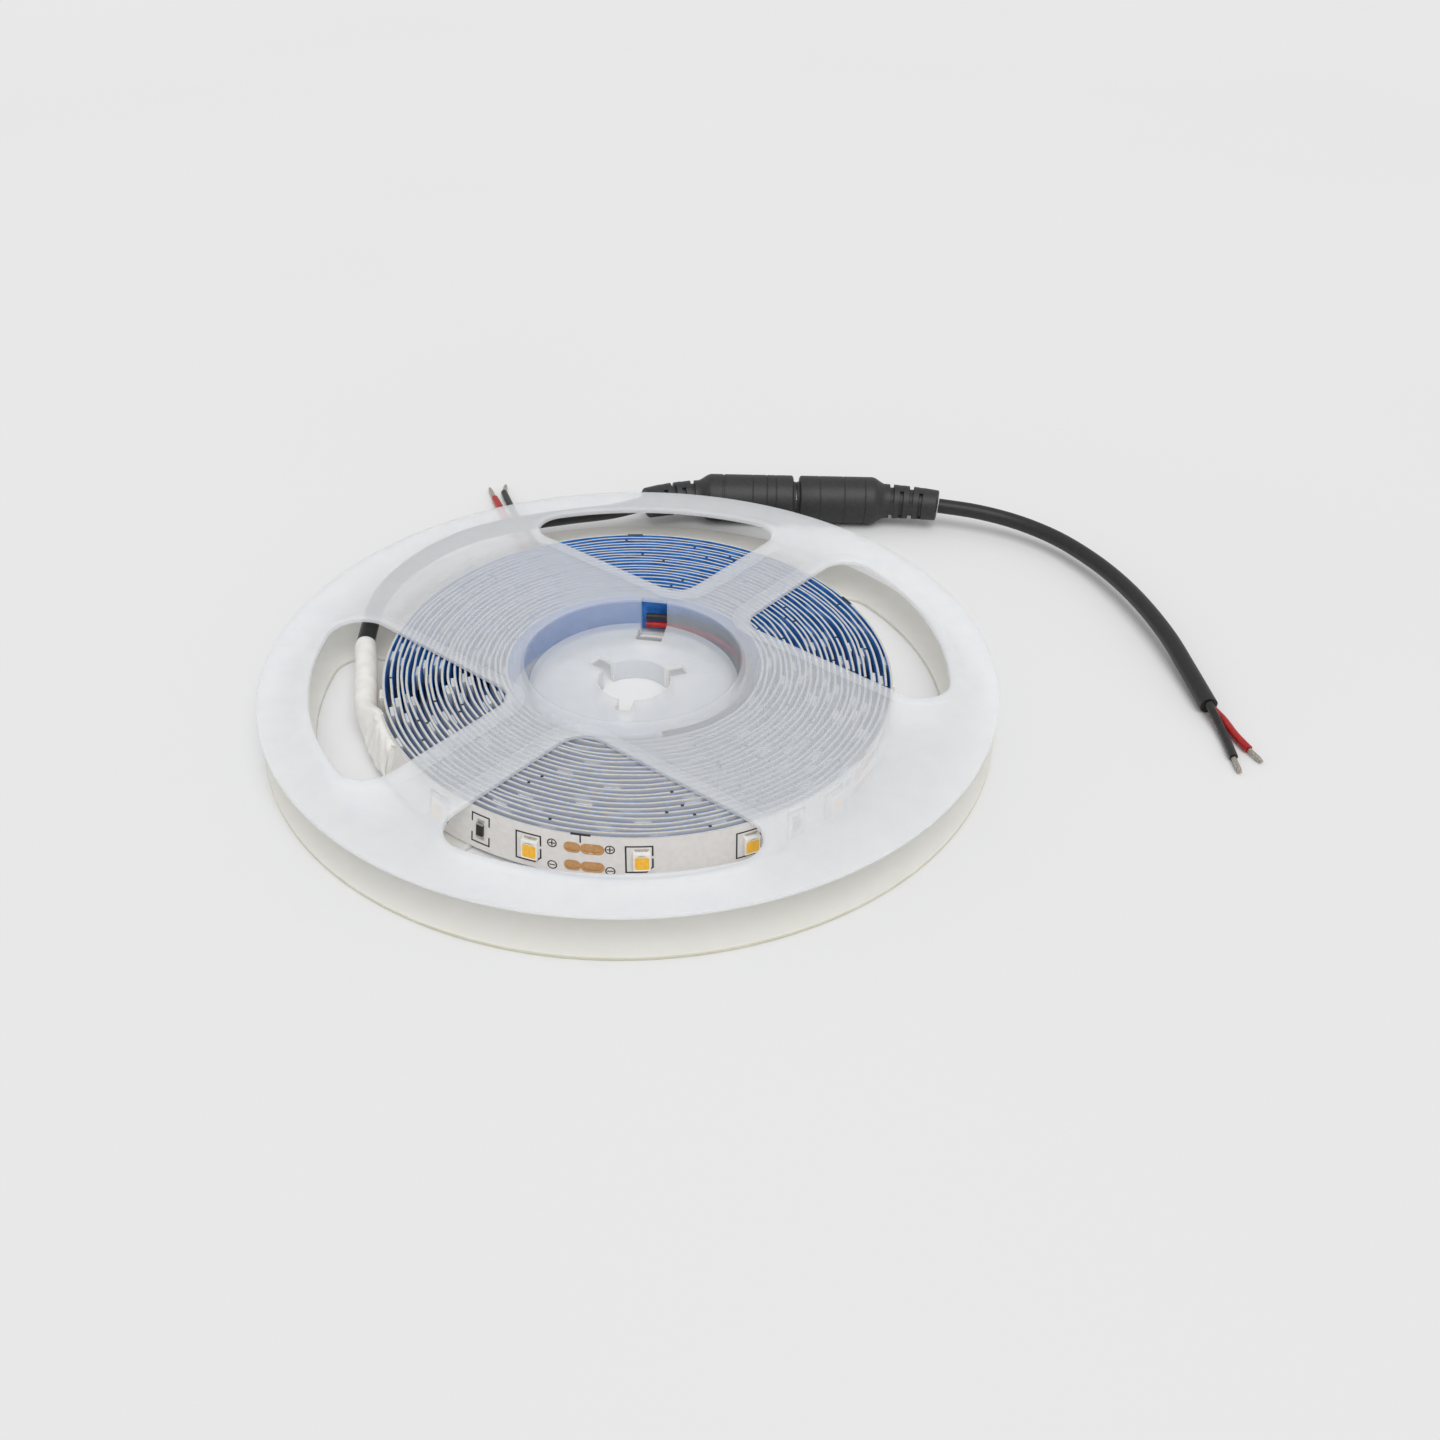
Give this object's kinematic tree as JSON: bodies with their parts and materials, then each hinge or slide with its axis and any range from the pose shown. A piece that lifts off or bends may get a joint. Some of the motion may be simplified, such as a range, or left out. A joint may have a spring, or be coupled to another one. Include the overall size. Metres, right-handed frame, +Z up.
{
  "type": "led strip light reel",
  "caption": "Open plastic reel of flexible LED strip light, wound on edge, with a sleeved lead, mated round connectors and stripped wire ends.",
  "frame": {"origin": "on the reel's axis, on the surface that the lower half lies on", "axes": "+Z up along the reel's axis; the front window and the viewer are on the -Y side, +X to the viewer's right"},
  "size_m": [0.1877, 0.1625, 0.0111],
  "materials": {
    "reel_plastic": "milky see-through moulded plastic, satin",
    "strip": "white flexible board with a blue backing film, satin",
    "lamp_body": "white moulded package with an orange-yellow window",
    "resistor_body": "black body with silver ends",
    "sleeve_film": "shrunk film, soft sheen",
    "cable_jacket": "smooth satin",
    "connector_moulding": "fine matt moulding",
    "plated_contact": "nickel plate",
    "tinned_wire": "tinned strands",
    "red_insulation": "smooth satin",
    "black_insulation": "smooth satin"
  },
  "bodies": {
    "root": {"lower_half": "reel_plastic", "upper_half": "reel_plastic", "strip_roll": "strip", "lamp_01": "lamp_body", "lamp_02": "lamp_body", "resistor_1": "resistor_body", "lamp_03": "lamp_body", "lamp_04": "lamp_body", "lamp_05": "lamp_body", "resistor_2": "resistor_body", "lamp_06": "lamp_body", "lamp_07": "lamp_body", "lamp_08": "lamp_body", "resistor_3": "resistor_body", "lamp_09": "lamp_body", "lamp_10": "lamp_body", "lamp_11": "lamp_body", "resistor_4": "resistor_body", "lamp_12": "lamp_body", "lamp_13": "lamp_body", "lamp_14": "lamp_body", "resistor_5": "resistor_body", "lamp_15": "lamp_body", "lamp_16": "lamp_body", "lamp_17": "lamp_body", "jack_shell": "connector_moulding", "plug_shell": "connector_moulding", "jack_pin": "plated_contact", "plug_barrel": "plated_contact", "sleeve": "sleeve_film", "lead_cable": "cable_jacket", "pigtail_cable": "cable_jacket", "black_wire": "black_insulation", "black_tip": "tinned_wire", "red_wire": "red_insulation", "red_tip": "tinned_wire", "black_tail": "black_insulation", "black_tail_tip": "tinned_wire", "red_tail": "red_insulation", "red_tail_tip": "tinned_wire", "hub_red_wire": "red_insulation", "hub_black_wire": "black_insulation"}
  },
  "joints": []
}
